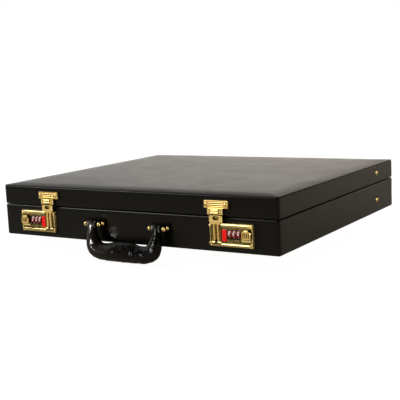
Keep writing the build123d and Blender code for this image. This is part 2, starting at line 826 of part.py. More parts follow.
# Die-cast body in the wall behind the plate: wheel cavity, axle bore and slide channel.
with BuildPart() as lock_body_right:
    block(body_left, body_right, front, front + body_depth, body_bottom, body_top)
    block(
        window_left, window_right, front - 1, wheel_y + wheel_radius + window_play,
        wheel_z - wheel_radius - window_play, wheel_z + wheel_radius + click_room, Mode.SUBTRACT
    )
    rod_x(axle_radius, window_left - axle_end, window_right + axle_end, wheel_y, wheel_z, Mode.SUBTRACT)
    block(
        slide_bar_start - slide_bar_play, stem_right + slide_play, front - 1, slide_back + slide_play,
        slide_bar_bottom - slide_play, slide_bar_top + slide_play, Mode.SUBTRACT
    )
    block(
        stem_left - slide_play, spring_end, front - 1, slide_back + slide_play,
        slide_bar_bottom - slide_play, stem_top + slide_play, Mode.SUBTRACT
    )
    for x, z in lock_screw_places:
        rod_y(screw_radius + hole_play, front - 1, front + pilot_depth, x, z, Mode.SUBTRACT)
save(lock_body_right, "lock_body_right")
save(other_side(lock_body_right), "lock_body_left")

# Red insert beside the wheels.
with BuildPart() as lock_indicator:
    block(
        indicator_left, indicator_right, front - indicator_height, front, indicator_bottom, indicator_top
    )
    fillet(lock_indicator.faces().sort_by(Axis.Y)[0].edges(), indicator_fillet)
save(both_sides(lock_indicator), "lock_indicators")

with BuildPart() as wheel_axle:
    rod_x(axle_radius, window_left - axle_end, window_right + axle_end, wheel_y, wheel_z)
save(both_sides(wheel_axle), "wheel_axles")

# Number wheels: a band between two rims, with thumb notches cut into one rim.
for index in range(3):
    x = first_wheel_x + index * wheel_pitch
    with BuildPart() as number_wheel:
        rod_x(wheel_radius, x - wheel_width / 2, x + wheel_width / 2, wheel_y, wheel_z)
        with BuildSketch(Plane.YZ.offset(x - wheel_width / 2 + wheel_rim)):
            with Locations((wheel_y, wheel_z)):
                Circle(wheel_radius + 1)
                Circle(wheel_radius - wheel_groove, mode=Mode.SUBTRACT)
        extrude(amount=wheel_width - 2 * wheel_rim, mode=Mode.SUBTRACT)
        with BuildSketch(Plane.YZ.offset(x + wheel_width / 2 - notch_depth)):
            with Locations((wheel_y, wheel_z)):
                with PolarLocations(wheel_radius, notch_count):
                    Circle(notch_radius)
        extrude(amount=wheel_rim, mode=Mode.SUBTRACT)
        rod_x(axle_radius + axle_play, x - wheel_width, x + wheel_width, wheel_y, wheel_z, Mode.SUBTRACT)
    save(number_wheel, f"number_wheel_right_{index + 1}")
    save(other_side(number_wheel), f"number_wheel_left_{index + 1}")

# Slide button: an arched knob with thumb grooves on a stem, and a bar that reaches to the hasp.
knob_back = plate_front - 0.3
knob_middle = (knob_left + knob_right) / 2
with BuildPart() as slide_button_right:
    block(knob_left, knob_right, knob_back - knob_height, knob_back, knob_bottom, knob_top)
    fillet(slide_button_right.edges().filter_by(Axis.Y).sort_by(Axis.Z)[-2:], knob_arch_radius)
    fillet(slide_button_right.edges().filter_by(Axis.Y).sort_by(Axis.Z)[:2], knob_foot_radius)
    chamfer(slide_button_right.faces().sort_by(Axis.Y)[0].edges(), knob_edge)
    for offset in (-1.5, -0.5, 0.5, 1.5):
        groove_left = knob_middle + offset * knob_groove_pitch - knob_groove_width / 2
        block(
            groove_left, groove_left + knob_groove_width, knob_back - 2 * knob_height,
            knob_back - knob_height + knob_groove_depth, knob_bottom + knob_groove_foot,
            knob_top - knob_groove_head, Mode.SUBTRACT
        )
    block(stem_left, stem_right, knob_back, slide_back, stem_bottom, stem_top)
    block(stem_left, stem_right, slide_start, slide_back, slide_bar_bottom, stem_top)
    block(slide_bar_start, stem_right, slide_start, slide_back, slide_bar_bottom, slide_bar_top)
save(slide_button_right, "slide_button_right")
save(other_side(slide_button_right), "slide_button_left")

# Slide spring: coils between the stem and the end of its channel.
coil_length = spring_end - stem_right - 2 * coil_play
coil_start = (stem_right + coil_play, (slide_start + slide_back) / 2, (stem_bottom + stem_top) / 2)
with BuildPart() as slide_spring_right:
    with BuildLine() as coil_path:
        Helix(coil_length / coil_count, coil_length, coil_radius, center=coil_start, direction=(1, 0, 0))
    with BuildSketch(Plane(origin=coil_path.edges()[0] @ 0, z_dir=coil_path.edges()[0] % 0)):
        Circle(coil_wire)
    sweep(path=coil_path.edges()[0])
save(slide_spring_right, "slide_spring_right")
save(other_side(slide_spring_right), "slide_spring_left")

# Click springs, thin strips over the wheels.
click_z = wheel_z + wheel_radius + click_clearance
with BuildPart() as click_spring:
    block(
        window_left + click_margin, window_right - click_margin, front + click_gap,
        front + click_gap + click_length, click_z, click_z + click_thickness
    )
save(both_sides(click_spring), "wheel_click_springs")

# Hasp: a ribbed strip on the pin, and a wider loop in front of the keeper's tooth.
with BuildPart() as hasp_strip_right:
    block(hasp_left, hasp_right, hasp_front, hasp_back, hasp_pivot_z, hasp_rib_top)
    rod_x(hasp_barrel, hasp_left, hasp_right, hasp_pivot_y, hasp_pivot_z)
    for offset in hasp_rib_offsets:
        rod_z(hasp_rib_radius, hasp_left + offset, hasp_front, hasp_pivot_z + hasp_rib_start, hasp_rib_top)
    block(
        hasp_left, hasp_right, loop_front, hasp_back,
        hasp_rib_top - hasp_neck_overlap, loop_bottom + loop_neck_overlap
    )
    with BuildSketch(Plane.XZ.offset(-loop_back)):
        with Locations(((loop_left + loop_right) / 2, (loop_bottom + loop_top) / 2)):
            RectangleRounded(loop_right - loop_left, loop_top - loop_bottom, loop_corner)
        with Locations(((loop_left + loop_right) / 2, loop_hole_z)):
            SlotOverall(loop_hole_width, loop_hole_height, mode=Mode.SUBTRACT)
    extrude(amount=loop_back - loop_front)
    # pocket for the torsion spring in the middle of the barrel
    block(
        hasp_middle - torsion_pocket_width / 2, hasp_middle + torsion_pocket_width / 2,
        front - 2 * plate_thickness, front,
        hasp_pivot_z - torsion_pocket_foot, hasp_pivot_z + torsion_pocket_head, Mode.SUBTRACT
    )
    rod_x(
        hasp_pin_radius + hasp_play, hasp_left - 1, hasp_right + 1, hasp_pivot_y, hasp_pivot_z, Mode.SUBTRACT
    )
save(hasp_strip_right, "hasp_right")
save(other_side(hasp_strip_right), "hasp_left")

with BuildPart() as hasp_pin:
    rod_x(hasp_pin_radius, hasp_pin_left, hasp_pin_right, hasp_pivot_y, hasp_pivot_z)
save(both_sides(hasp_pin), "hasp_pins")

torsion_radius = hasp_pin_radius + torsion_wire + torsion_play
with BuildPart() as hasp_spring:
    for offset in torsion_coils:
        with Locations(Location((hasp_middle + offset, hasp_pivot_y, hasp_pivot_z), (0, 90, 0))):
            Torus(torsion_radius, torsion_wire)
save(both_sides(hasp_spring), "hasp_springs")

with BuildPart() as lock_screw_set:
    for x, z in lock_screw_places:
        rod_y(screw_radius, plate_front, front + screw_depth, x, z)
        with Locations(Location((x, plate_front, z), (90, 0, 0))):
            add(dome(lock_screw_head, lock_screw_dome))
save(both_sides(lock_screw_set), "lock_screws")

# ================================================================ keepers
# T-shaped: a ridged bar with two screws, and a narrower block with two barrels and a tooth.
keeper_front = front - keeper_thickness
keeper_middle_z = (keeper_bar_bottom + keeper_bar_top) / 2
with BuildPart() as keeper_right:
    block(
        keeper_x - keeper_bar_width / 2, keeper_x + keeper_bar_width / 2, keeper_front, front,
        keeper_bar_bottom, keeper_bar_top
    )
    fillet(keeper_right.edges().filter_by(Axis.Y), keeper_corner)
    chamfer(keeper_right.faces().sort_by(Axis.Y)[0].edges(), keeper_edge)
    block(
        keeper_x - keeper_field_width / 2, keeper_x + keeper_field_width / 2, keeper_front - 1,
        keeper_front + keeper_field_depth, keeper_middle_z - keeper_field_height / 2,
        keeper_middle_z + keeper_field_height / 2, Mode.SUBTRACT
    )
    for row in (-1, 0, 1):
        rod_x(
            keeper_ridge_radius, keeper_x - keeper_field_width / 2, keeper_x + keeper_field_width / 2,
            keeper_front + keeper_field_depth, keeper_middle_z + row * keeper_ridge_pitch
        )
    block(
        keeper_x - keeper_block_width / 2, keeper_x + keeper_block_width / 2, keeper_block_front, front,
        keeper_block_bottom, keeper_bar_bottom + 1
    )
    for height in keeper_barrel_heights:
        rod_x(
            keeper_barrel_radius, keeper_x - keeper_barrel_width / 2, keeper_x + keeper_barrel_width / 2,
            keeper_block_front, keeper_block_bottom + height
        )
        for sign in (-1, 1):
            dimple_x = keeper_x + sign * (keeper_barrel_width + keeper_block_width) / 4
            rod_y(
                keeper_dimple_radius, keeper_block_front - 1, keeper_block_front + keeper_dimple_depth,
                dimple_x, keeper_block_bottom + height, Mode.SUBTRACT
            )
    block(
        keeper_x - tooth_width / 2, keeper_x + tooth_width / 2, tooth_front, tooth_back,
        tooth_bottom, keeper_block_bottom + 1
    )
    keeper_holes()
save(keeper_right, "keeper_right")
save(other_side(keeper_right), "keeper_left")

with BuildPart() as keeper_screw_set:
    for offset in (-keeper_screw_offset, keeper_screw_offset):
        x = keeper_x + offset
        rod_y(screw_radius, keeper_front, front + screw_depth, x, keeper_screw_z)
        with Locations(Location((x, keeper_front, keeper_screw_z), (90, 0, 0))):
            add(dome(keeper_screw_head, keeper_screw_dome))
save(both_sides(keeper_screw_set), "keeper_screws")
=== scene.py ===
import json
import math

import bmesh
import bpy
from mathutils import Matrix, Vector, noise

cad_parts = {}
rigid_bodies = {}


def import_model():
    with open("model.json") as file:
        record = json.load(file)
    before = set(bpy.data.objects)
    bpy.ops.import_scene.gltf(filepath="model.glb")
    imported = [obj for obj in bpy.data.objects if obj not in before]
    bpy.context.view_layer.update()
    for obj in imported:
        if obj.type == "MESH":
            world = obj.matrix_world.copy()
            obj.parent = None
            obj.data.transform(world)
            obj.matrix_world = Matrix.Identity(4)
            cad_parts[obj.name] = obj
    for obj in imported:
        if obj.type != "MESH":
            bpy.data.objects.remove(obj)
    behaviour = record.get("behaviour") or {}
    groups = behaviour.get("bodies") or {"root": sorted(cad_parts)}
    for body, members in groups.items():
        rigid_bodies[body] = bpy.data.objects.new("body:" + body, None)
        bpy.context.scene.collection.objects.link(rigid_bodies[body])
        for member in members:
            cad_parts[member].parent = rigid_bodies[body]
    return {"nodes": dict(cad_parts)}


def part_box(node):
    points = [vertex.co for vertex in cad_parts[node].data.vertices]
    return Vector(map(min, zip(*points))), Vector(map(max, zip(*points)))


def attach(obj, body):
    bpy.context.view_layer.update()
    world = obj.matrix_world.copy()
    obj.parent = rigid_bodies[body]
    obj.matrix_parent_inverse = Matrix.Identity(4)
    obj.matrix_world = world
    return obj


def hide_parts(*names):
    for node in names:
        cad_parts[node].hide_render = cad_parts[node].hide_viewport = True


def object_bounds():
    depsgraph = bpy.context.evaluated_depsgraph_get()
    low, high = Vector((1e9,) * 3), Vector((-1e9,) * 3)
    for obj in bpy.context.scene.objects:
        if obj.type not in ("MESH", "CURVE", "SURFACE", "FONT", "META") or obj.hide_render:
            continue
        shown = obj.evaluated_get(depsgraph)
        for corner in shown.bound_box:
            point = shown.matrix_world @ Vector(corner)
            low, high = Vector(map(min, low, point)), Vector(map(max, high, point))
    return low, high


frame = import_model()
nodes = frame["nodes"]
cad_low, cad_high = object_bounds()

MM = 0.001
case_low, case_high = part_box("base_leatherette")
half_x, half_y = case_high.xy
front_wall = case_low.y


# ------------------------------------------------------------------ mesh helpers
def mm(x, y, z):
    """A point given in millimetres."""
    return Vector((x, y, z)) * MM


def link_object(name, data):
    """A new object in the scene, from a mesh, text, lamp or camera."""
    piece = bpy.data.objects.new(name, data)
    bpy.context.scene.collection.objects.link(piece)
    return piece


def shade(mesh, sharp_angle=40.0):
    """Smooth shading, with edges sharper than the angle kept crisp."""
    work = bmesh.new()
    work.from_mesh(mesh)
    bmesh.ops.recalc_face_normals(work, faces=work.faces)
    for face in work.faces:
        face.smooth = True
    for edge in work.edges:
        edge.smooth = edge.calc_face_angle(0.0) < math.radians(sharp_angle)
    work.to_mesh(mesh)
    work.free()


def make_piece(name, work, material, body, sharp_angle=40.0):
    """Turn a bmesh into a shaded piece that rides on a body."""
    mesh = bpy.data.meshes.new(name)
    work.to_mesh(mesh)
    work.free()
    shade(mesh, sharp_angle)
    mesh.materials.append(material)
    piece = link_object(name, mesh)
    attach(piece, body)
    return piece


def rounded_ring(half_x, half_y, radius, z, steps_x=46, steps_y=41, corner_steps=8, seam=0.0):
    """Points round a rectangle with round corners. seam pulls the middle of each corner in."""
    radius = max(radius, 0.02 * MM)
    inner_x, inner_y = half_x - radius, half_y - radius
    points = []
    corners = ((1, -1, -90), (1, 1, 0), (-1, 1, 90), (-1, -1, 180))
    for index, (sx, sy, start) in enumerate(corners):
        centre = Vector((sx * inner_x, sy * inner_y, z))
        for step in range(corner_steps + 1):
            angle = math.radians(start + 90 * step / corner_steps)
            reach = radius - (seam if step == corner_steps // 2 else 0.0)
            points.append(centre + Vector((math.cos(angle), math.sin(angle), 0)) * reach)
        next_sx, next_sy, next_start = corners[(index + 1) % 4]
        angle = math.radians(next_start)
        target = Vector((next_sx * inner_x, next_sy * inner_y, z))
        target += Vector((math.cos(angle), math.sin(angle), 0)) * radius
        steps = steps_y if index % 2 == 0 else steps_x
        last = points[-1]
        for step in range(1, steps):
            points.append(last.lerp(target, step / steps))
    return points


def loft(rings, cap_start=True, cap_end=True):
    """A closed skin through rings of points, with the ends filled."""
    work = bmesh.new()
    loops = [[work.verts.new(point) for point in ring] for ring in rings]
    count = len(loops[0])
    for low, high in zip(loops, loops[1:]):
        for index in range(count):
            after = (index + 1) % count
            work.faces.new((low[index], low[after], high[after], high[index]))
    if cap_start:
        work.faces.new(list(reversed(loops[0])))
    if cap_end:
        work.faces.new(loops[-1])
    return work


def ripple(point, scale, amount, seed=0.0):
    """A smooth, repeatable offset that depends on the place."""
    return noise.noise(Vector((point.x * scale + seed, point.y * scale - seed, point.z * scale))) * amount


def arc_profile(inset_start, z_start, inset_end, z_end, steps):
    """Quarter-round stretch of a profile between two (inset, z); it starts upright and ends level."""
    points = []
    for step in range(1, steps + 1):
        angle = math.pi / 2 * step / steps
        inset = inset_start + (inset_end - inset_start) * (1 - math.cos(angle))
        points.append((inset, z_start + (z_end - z_start) * math.sin(angle)))
    return points


# ------------------------------------------------------------------ material helpers
class NodeTree:
    """Short ways to add nodes to a tree and to join them."""

    def __init__(self, tree):
        self.tree = tree

    def node(self, kind, **inputs):
        """A new node with the given inputs set; underscores in a name stand for spaces."""
        made = self.tree.nodes.new(kind)
        for key, value in inputs.items():
            made.inputs[key.replace("_", " ")].default_value = value
        return made

    def feed(self, value, socket):
        """Join an output to an input, or set the input to a number or a colour."""
        if isinstance(value, bpy.types.NodeSocket):
            self.tree.links.new(value, socket)
        elif isinstance(value, tuple):
            socket.default_value = (*value, 1.0)
        else:
            socket.default_value = value

    def maths(self, operation, first, second):
        """One operation on two numbers."""
        made = self.node("ShaderNodeMath")
        made.operation = operation
        self.feed(first, made.inputs[0])
        self.feed(second, made.inputs[1])
        return made.outputs["Value"]

    def blend(self, factor, first, second):
        """A number between two others: the first at 0, the second at 1."""
        made = self.node("ShaderNodeMix")
        self.feed(factor, made.inputs["Factor"])
        self.feed(first, made.inputs["A"])
        self.feed(second, made.inputs["B"])
        return made.outputs["Result"]

    def mix(self, factor, first, second):
        """A colour between two others: the first at 0, the second at 1."""
        made = self.node("ShaderNodeMix")
        made.data_type = "RGBA"
        self.feed(factor, made.inputs["Factor"])
        colour_inputs = [socket for socket in made.inputs if socket.type == "RGBA"]
        for colour, socket in zip((first, second), colour_inputs):
            self.feed(colour, socket)
        return [socket for socket in made.outputs if socket.type == "RGBA"][0]


class Shader(NodeTree):
    """One procedural material, laid out in the coordinates of the piece that wears it."""

    def __init__(self, name):
        self.material = bpy.data.materials.new(name)
        self.material.use_nodes = True
        super().__init__(self.material.node_tree)
        self.surface = self.tree.nodes["Principled BSDF"]
        self.place = self.node("ShaderNodeTexCoord").outputs["Object"]

    def set(self, **values):
        """Set plain values of the surface; underscores in a name stand for spaces."""
        for key, value in values.items():
            self.surface.inputs[key.replace("_", " ")].default_value = value

    def noise(self, scale, detail=4.0, roughness=0.55, stretch=None):
        """Cloudy noise from 0 to 1, drawn out along an axis where stretch is small."""
        made = self.node("ShaderNodeTexNoise", Scale=scale, Detail=detail, Roughness=roughness)
        source = self.place
        if stretch:
            mapping = self.node("ShaderNodeMapping", Scale=stretch)
            self.feed(self.place, mapping.inputs["Vector"])
            source = mapping.outputs["Vector"]
        self.feed(source, made.inputs["Vector"])
        return made.outputs["Fac"]

    def cells(self, scale):
        """Small round cells: the distance from the nearest cell centre."""
        made = self.node("ShaderNodeTexVoronoi", Scale=scale)
        self.feed(self.place, made.inputs["Vector"])
        return made.outputs["Distance"]

    def along_y(self):
        """The place along the front-to-back axis, in metres."""
        split = self.node("ShaderNodeSeparateXYZ")
        self.feed(self.place, split.inputs["Vector"])
        return split.outputs["Y"]

    def span(self, value, low, high, from_low=0.0, from_high=1.0):
        """Map a value from one range to another, and keep it inside."""
        ends = {"From_Min": from_low, "From_Max": from_high, "To_Min": low, "To_Max": high}
        made = self.node("ShaderNodeMapRange", **ends)
        self.feed(value, made.inputs["Value"])
        return made.outputs["Result"]

    def bump(self, height, strength, distance, below=None):
        """Relief from a height, on top of the relief below it."""
        made = self.node("ShaderNodeBump", Strength=strength, Distance=distance)
        self.feed(height, made.inputs["Height"])
        if below is not None:
            self.feed(below, made.inputs["Normal"])
        return made.outputs["Normal"]

    def edge_wear(self, low=0.51, high=0.56):
        """From 0 on flat faces to 1 on outer edges."""
        pointiness = self.node("ShaderNodeNewGeometry").outputs["Pointiness"]
        return self.span(pointiness, 0.0, 1.0, low, high)

    def colour(self, value):
        """Drive the surface's colour."""
        self.feed(value, self.surface.inputs["Base Color"])

    def rough(self, value):
        """Drive the surface's roughness."""
        self.feed(value, self.surface.inputs["Roughness"])

    def normal(self, value):
        """Drive the surface's relief."""
        self.feed(value, self.surface.inputs["Normal"])


def leatherette_material():
    """Black covering cloth with a fine pressed grain and a soft sheen."""
    shader = Shader("leatherette")
    cloud = shader.noise(9.0, 3.0)
    shader.colour(shader.mix(cloud, (0.0082, 0.0068, 0.0040), (0.0120, 0.0100, 0.0062)))
    shader.rough(shader.span(shader.noise(35.0, 5.0), 0.27, 0.36))
    pores = shader.cells(1150.0)
    creases = shader.noise(420.0, 3.0, 0.6)
    grain = shader.maths("ADD", pores, shader.maths("MULTIPLY", creases, 0.8))
    slack = shader.bump(shader.noise(28.0, 2.0), 0.12, 0.0008)
    shader.normal(shader.bump(grain, 0.22, 0.00010, slack))
    shader.set(Specular_IOR_Level=0.5)
    return shader.material


def handle_leather_material():
    """Glossy black leather with fine wrinkles drawn out upwards, and a brown tint in patches."""
    shader = Shader("handle_leather")
    cloud = shader.noise(60.0, 4.0)
    shader.colour(shader.mix(cloud, (0.0012, 0.0011, 0.0009), (0.0050, 0.0028, 0.0012)))
    shader.rough(shader.span(shader.noise(150.0, 4.0), 0.12, 0.24))
    pores = shader.cells(900.0)
    wrinkles = shader.noise(190.0, 4.0, 0.6, stretch=(1.0, 1.0, 0.30))
    folds = shader.noise(320.0, 3.0, 0.6, stretch=(1.0, 1.0, 0.45))
    slack = shader.bump(wrinkles, 0.60, 0.0012)
    crinkled = shader.bump(folds, 0.55, 0.0005, slack)
    shader.normal(shader.bump(pores, 0.15, 0.0002, crinkled))
    shader.set(Specular_IOR_Level=0.40)
    return shader.material


def brass_material(name, light, dark, rough_low, rough_high, brush=None, recess=None):
    """Gold-coloured plated brass: bright where it is rubbed, faint scratches, and painted shade with some
    real tarnishing darkening the recesses.

    recess is the height above the front wall, in millimetres, below which the metal turns dark with painted
    shade and tarnishing.
    """
    shader = Shader(name)
    cloud = shader.noise(90.0, 5.0)
    tone = shader.mix(cloud, light, dark)
    tone = shader.mix(shader.edge_wear(), tone, tuple(min(1.0, part * 1.12) for part in light))
    polish = shader.span(shader.noise(260.0, 4.0), rough_low, rough_high)
    if recess is not None:
        # Painted shade: metal lying deeper than the front faces is darkened in mottled patches. This stands
        # partly for real tarnishing and partly for the shade in the recesses.
        edge = front_wall - recess * MM
        depth = shader.span(shader.along_y(), 0.0, 1.0, edge - 0.35 * MM, edge + 0.1 * MM)
        recess_mottle = shader.span(shader.noise(620.0, 3.0, 0.6), 0.70, 1.0, 0.44, 0.60)
        recess_shade_and_tarnishing = shader.mix(cloud, (0.085, 0.048, 0.016), (0.030, 0.020, 0.008))
        tone = shader.mix(shader.maths("MULTIPLY", depth, recess_mottle), tone, recess_shade_and_tarnishing)
        polish = shader.maths("ADD", polish, shader.maths("MULTIPLY", depth, 0.10))
    shader.colour(tone)
    shader.rough(polish)
    scratches = shader.noise(700.0, 3.0, 0.6, stretch=brush or (0.15, 1.0, 1.0))
    dents = shader.bump(shader.noise(120.0, 2.0), 0.15, 0.0005)
    shader.normal(shader.bump(scratches, 0.10, 0.00008, dents))
    shader.set(Metallic=1.0)
    return shader.material


def metal_material(name, light, dark, rough_low, rough_high):
    """Plain steel or zinc with brush marks along X."""
    shader = Shader(name)
    shader.colour(shader.mix(shader.noise(140.0, 4.0), light, dark))
    shader.rough(shader.span(shader.noise(320.0, 4.0), rough_low, rough_high))
    shader.normal(shader.bump(shader.noise(900.0, 2.0, 0.5, stretch=(0.1, 1.0, 1.0)), 0.15, 0.0001))
    shader.set(Metallic=1.0)
    return shader.material


def black_metal_material():
    """Black enamel over steel, with a little orange peel and rubbed edges."""
    shader = Shader("bracket_black")
    base = shader.mix(shader.noise(80.0), (0.003, 0.003, 0.003), (0.007, 0.0065, 0.006))
    shader.colour(shader.mix(shader.edge_wear(0.53, 0.60), base, (0.02, 0.018, 0.016)))
    shader.rough(shader.span(shader.noise(240.0), 0.40, 0.58))
    shader.set(Specular_IOR_Level=0.25)
    shader.normal(shader.bump(shader.noise(600.0, 2.0), 0.12, 0.0002))
    return shader.material


def plastic_material(name, first, second, rough_low, rough_high):
    """Moulded glossy plastic with faint flow marks."""
    shader = Shader(name)
    shader.colour(shader.mix(shader.noise(180.0, 3.0), first, second))
    shader.rough(shader.span(shader.noise(300.0), rough_low, rough_high))
    shader.normal(shader.bump(shader.noise(500.0, 2.0), 0.10, 0.0001))
    shader.set(Specular_IOR_Level=0.5)
    return shader.material


def velvet_material(name, dark, light, pile_scale=1500.0):
    """Short pile cloth: sheen at a glancing angle and brushed patches."""
    shader = Shader(name)
    brushed = shader.span(shader.noise(22.0, 4.0), 0.0, 1.0, 0.35, 0.7)
    shader.colour(shader.mix(brushed, dark, light))
    shader.rough(shader.span(shader.noise(60.0), 0.80, 0.95))
    pile = shader.maths("ADD", shader.noise(pile_scale, 2.0), shader.noise(pile_scale * 0.35, 2.0))
    nap = shader.bump(shader.noise(45.0, 3.0), 0.2, 0.001)
    shader.normal(shader.bump(pile, 0.6, 0.0005, nap))
    tint = [min(1.0, part * 4 + 0.1) for part in light]
    shader.set(Sheen_Weight=0.7, Sheen_Roughness=0.35, Sheen_Tint=(*tint, 1.0), Specular_IOR_Level=0.1)
    return shader.material


def board_material():
    """Raw board with long, faint fibres."""
    shader = Shader("board")
    fibres = shader.noise(120.0, 5.0, 0.6, stretch=(0.06, 1.0, 1.0))
    shader.colour(shader.mix(fibres, (0.36, 0.23, 0.12), (0.56, 0.41, 0.25)))
    shader.rough(shader.span(fibres, 0.6, 0.85))
    shader.normal(shader.bump(fibres, 0.3, 0.0003))
    return shader.material


leatherette = leatherette_material()
handle_leather = handle_leather_material()
GOLD, OLD_GOLD = (0.98, 0.73, 0.32), (0.80, 0.50, 0.15)
brass = brass_material("brass_hardware", GOLD, OLD_GOLD, 0.07, 0.17)
plate_brass = brass_material("brass_plates", GOLD, OLD_GOLD, 0.10, 0.20, recess=3.3)
hasp_brass = brass_material("brass_hasps", GOLD, OLD_GOLD, 0.08, 0.18, (1.0, 1.0, 0.15), recess=3.9)
keeper_brass = brass_material("brass_keepers", GOLD, OLD_GOLD, 0.08, 0.18, recess=2.8)
knob_brass = brass_material("brass_knobs", GOLD, OLD_GOLD, 0.08, 0.18, recess=6.2)
stay_brass = brass_material("stay_brass", (0.80, 0.60, 0.25), (0.62, 0.43, 0.15), 0.25, 0.40, (1.0, 0.1, 1.0))
steel = metal_material("steel", (0.55, 0.55, 0.56), (0.42, 0.42, 0.43), 0.25, 0.42)
zinc = metal_material("lock_casting", (0.30, 0.28, 0.24), (0.20, 0.18, 0.15), 0.40, 0.60)
bracket_black = black_metal_material()
red_plastic = plastic_material("red_plastic", (0.95, 0.010, 0.006), (0.80, 0.006, 0.004), 0.18, 0.32)
wheel_plastic = plastic_material("wheel_plastic", (0.26, 0.013, 0.006), (0.13, 0.008, 0.004), 0.25, 0.42)
digit_paint = plastic_material("digit_paint", (0.95, 0.92, 0.83), (0.85, 0.80, 0.70), 0.35, 0.5)
velvet = velvet_material("velvet", (0.040, 0.004, 0.007), (0.085, 0.010, 0.015))
flock = velvet_material("tray_flock", (0.010, 0.010, 0.011), (0.022, 0.022, 0.024), 2200.0)
board = board_material()


# ------------------------------------------------------------------ CAD nodes that stay
def finish_cad(names, material, bevel=0.0, angle=30.0):
    """Give carried-over CAD nodes their material, and soften their edges with a small bevel."""
    for name in names:
        node = nodes[name]
        node.data.materials.clear()
        node.data.materials.append(material)
        if "custom_normal" in node.data.attributes:
            node.data.attributes.remove(node.data.attributes["custom_normal"])
        for polygon in node.data.polygons:
            polygon.use_smooth = True
        weld = node.modifiers.new("weld", "WELD")
        weld.merge_threshold = 0.002 * MM
        if bevel:
            soften = node.modifiers.new("soften", "BEVEL")
            soften.width = bevel
            soften.segments = 2
            soften.limit_method = "ANGLE"
            soften.angle_limit = math.radians(angle)
            soften.harden_normals = True
            soften.miter_outer = "MITER_ARC"


def sides(pattern):
    """The left and right names of a mirrored node."""
    return [pattern.format(side) for side in ("left", "right")]


finish_cad(sides("lock_plate_{}"), plate_brass, 0.15 * MM)
finish_cad(sides("hasp_{}"), hasp_brass, 0.22 * MM)
finish_cad(sides("keeper_{}"), keeper_brass, 0.22 * MM)
finish_cad(sides("slide_button_{}"), knob_brass, 0.25 * MM)
finish_cad(["lock_screws", "keeper_screws", "bracket_rivets", "handle_pin_caps"], brass)
finish_cad(["stay_rivets_base", "stay_rivets_lid"], brass)
finish_cad(["hinge_leaf_base", "hinge_leaf_lid"], brass, 0.12 * MM)
finish_cad(["hinge_pin", "hinge_screws_base", "hinge_screws_lid"], brass)
finish_cad(sides("stay_lower_link_{}") + sides("stay_upper_link_{}"), stay_brass, 0.15 * MM)
finish_cad(sides("stay_elbow_rivet_{}"), stay_brass, 0.12 * MM)
finish_cad(sides("lock_body_{}"), zinc, 0.12 * MM)
finish_cad(["handle_core", "handle_pins", "wheel_axles", "wheel_click_springs"], steel)
finish_cad(["hasp_pins", "hasp_springs"] + sides("slide_spring_{}"), steel)
finish_cad(sides("handle_bracket_{}"), bracket_black, 0.4 * MM)
finish_cad(["lock_indicators"], red_plastic, 0.3 * MM)
finish_cad(["base_frame", "base_floor_panel", "lid_frame", "lid_top_panel"], board)
finish_cad(sides("chip_tray_{}") + ["accessory_tray"], flock, 0.9 * MM, 50.0)


# ------------------------------------------------------------------ covering of the shells
def corner_seam(inset):
    """Depth of the pressed seam at the corners, which only the outer side of the cloth shows."""
    return SEAM if inset < CORNER / 2 else 0.0


def ring_loft(profile, wobble, seed):
    """Rings round the case at each (inset, z) of a profile. wobble is the slackness of the cloth."""
    rings = []
    for inset, z in profile:
        ring = rounded_ring(half_x - inset, half_y - inset, CORNER - inset, z, seam=corner_seam(inset))
        if inset < 2.5 * MM:
            for point in ring:
                outward = Vector(((point.x / half_x) ** 9, (point.y / half_y) ** 9, 0))
                point += outward * ripple(point, 26.0, wobble, seed)
        rings.append(ring)
    return rings


def cut_boxes(piece, boxes):
    """Cut closed boxes out of a piece, exactly, and keep the result as its mesh."""
    work = bmesh.new()
    for low, high in boxes:
        size = high - low
        place = Matrix.Translation((low + high) / 2) @ Matrix.Diagonal((*size, 1.0))
        bmesh.ops.create_cube(work, size=1.0, matrix=place)
    tool_mesh = bpy.data.meshes.new("cutter")
    work.to_mesh(tool_mesh)
    work.free()
    tool = link_object("cutter", tool_mesh)
    cut = piece.modifiers.new("cut", "BOOLEAN")
    cut.operation = "DIFFERENCE"
    cut.solver = "EXACT"
    cut.object = tool
    apply_modifiers(piece)
    bpy.data.objects.remove(tool)
    shade(piece.data)


def apply_modifiers(piece):
    """Replace the mesh by its evaluated form and drop the modifiers."""
    bpy.context.view_layer.update()
    depsgraph = bpy.context.evaluated_depsgraph_get()
    final = bpy.data.meshes.new_from_object(piece.evaluated_get(depsgraph))
    piece.modifiers.clear()
    piece.data = final


CORNER = 4.0 * MM
SKIN = 1.0 * MM
BOARD_EDGE = 8.0 * MM
FOLD = 0.4 * MM
SEAM = 0.35 * MM


def build_base_skin():
    """Bottom, walls and turned-over rim of the base, closed, with the lock openings."""
    top = case_high.z
    rim_z, rim_round = top - 2.0 * MM, 2.2 * MM
    foot_z, foot_round = 2.2 * MM, 2.0 * MM
    wall_end = 2.7 * MM
    profile = [(SKIN, SKIN), (SKIN, top - SKIN), (BOARD_EDGE, top - SKIN)]
    profile += [(BOARD_EDGE, top - FOLD), (BOARD_EDGE - FOLD, top), (3.0 * MM, top), (2.4 * MM, top)]
    rim = arc_profile(0.0, rim_z, rim_round, top, 7)
    profile += list(reversed(rim)) + [(0.0, rim_z)]
    walls = 9
    for step in range(1, walls):
        profile.append((0.0, rim_z - (rim_z - wall_end) * step / walls))
    bottom = arc_profile(0.0, foot_z, foot_round, 0.0, 6)
    profile += [(0.0, foot_z)] + bottom + [(3.0 * MM, 0.0), (20.0 * MM, 0.0)]
    rings = ring_loft(profile, 0.22 * MM, 3.1)
    skin = make_piece("base_covering", loft(rings), leatherette, "base")
    openings = []
    reach = mm(0.1, 3.0, 0.1)
    for side in ("left", "right"):
        low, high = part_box(f"lock_body_{side}")
        openings.append((low - reach, high + reach))
    cut_boxes(skin, openings)
    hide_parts("base_leatherette")


